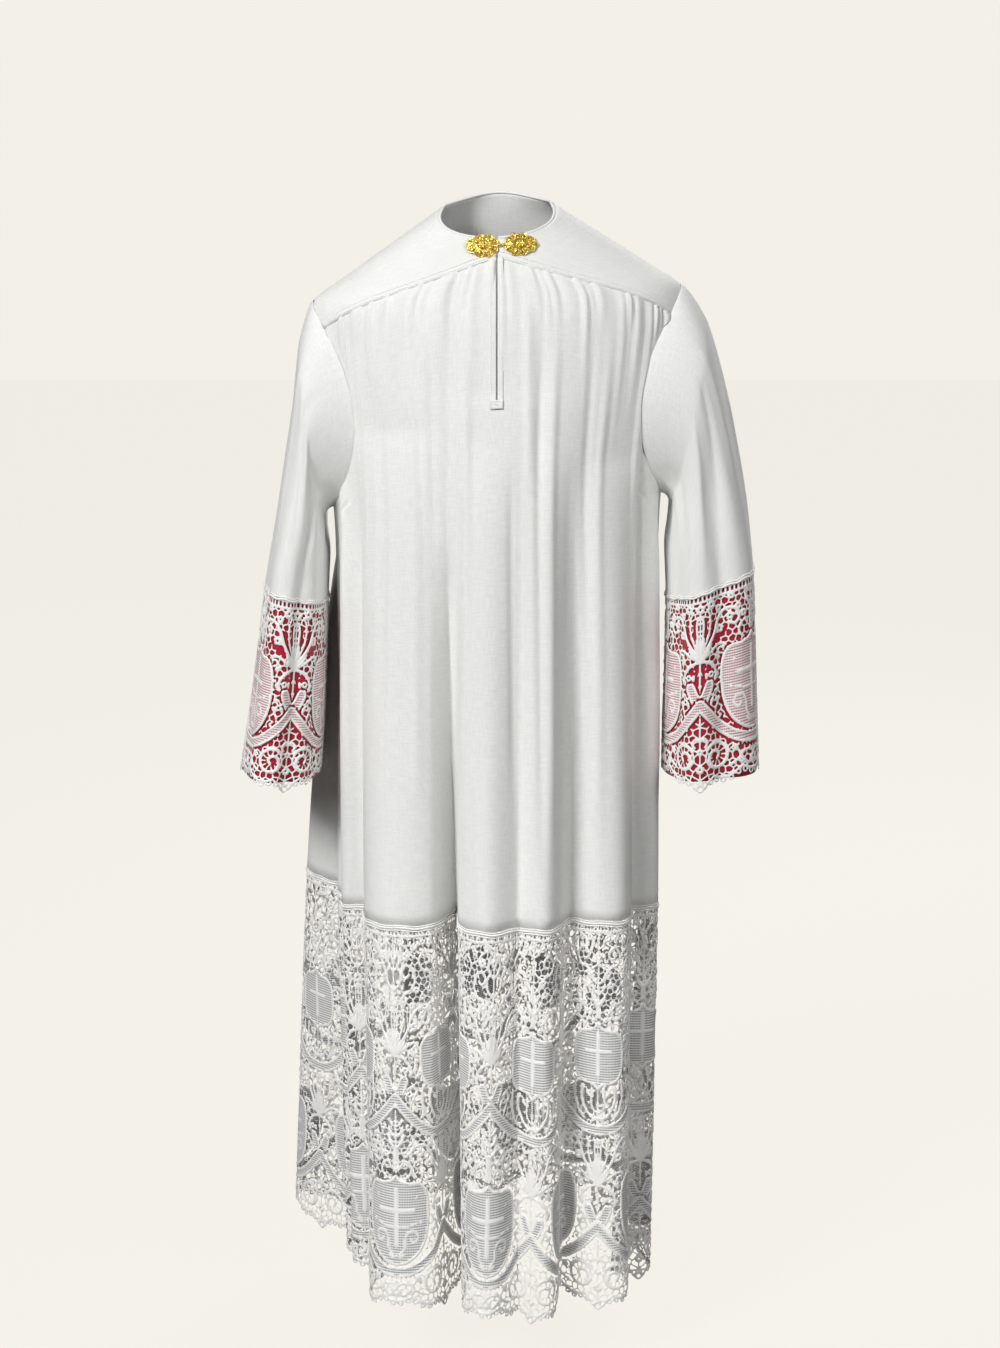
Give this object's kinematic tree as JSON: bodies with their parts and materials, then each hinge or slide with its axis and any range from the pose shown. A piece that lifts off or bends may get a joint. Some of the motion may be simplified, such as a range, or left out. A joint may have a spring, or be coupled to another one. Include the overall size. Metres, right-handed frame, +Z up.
{
  "type": "lace-trimmed alb",
  "caption": "Long white linen gown in its worn form, with bell sleeves over red cuff linings, a split yoke with a gilt clasp, and deep lace at the cuffs and hem.",
  "frame": {"origin": "middle of the neck opening, at the height where the yoke rests on the sides of the wearer's neck", "axes": "+Z up, the gown faces -Y, +X is the wearer's left"},
  "size_m": [0.7191, 0.4656, 1.5142],
  "materials": {
    "linen": "plain-woven white linen blend, matt",
    "lace": "white corded guipure lace, matt",
    "lining": "crimson satin lining",
    "gilt": "polished gilt filigree"
  },
  "bodies": {
    "root": {"yoke_front_left": "linen", "yoke_front_right": "linen", "yoke_back": "linen", "front_panel": "linen", "back_panel": "linen", "slit_tack": "linen", "sleeve_left": "linen", "sleeve_right": "linen", "hem_lace_front": "lace", "hem_lace_back": "lace", "cuff_lace_left_front": "lace", "cuff_lace_left_back": "lace", "cuff_lace_right_front": "lace", "cuff_lace_right_back": "lace", "cuff_lining_left": "lining", "cuff_lining_right": "lining", "clasp_left": "gilt", "clasp_right": "gilt", "clasp_hook": "gilt"}
  },
  "joints": []
}
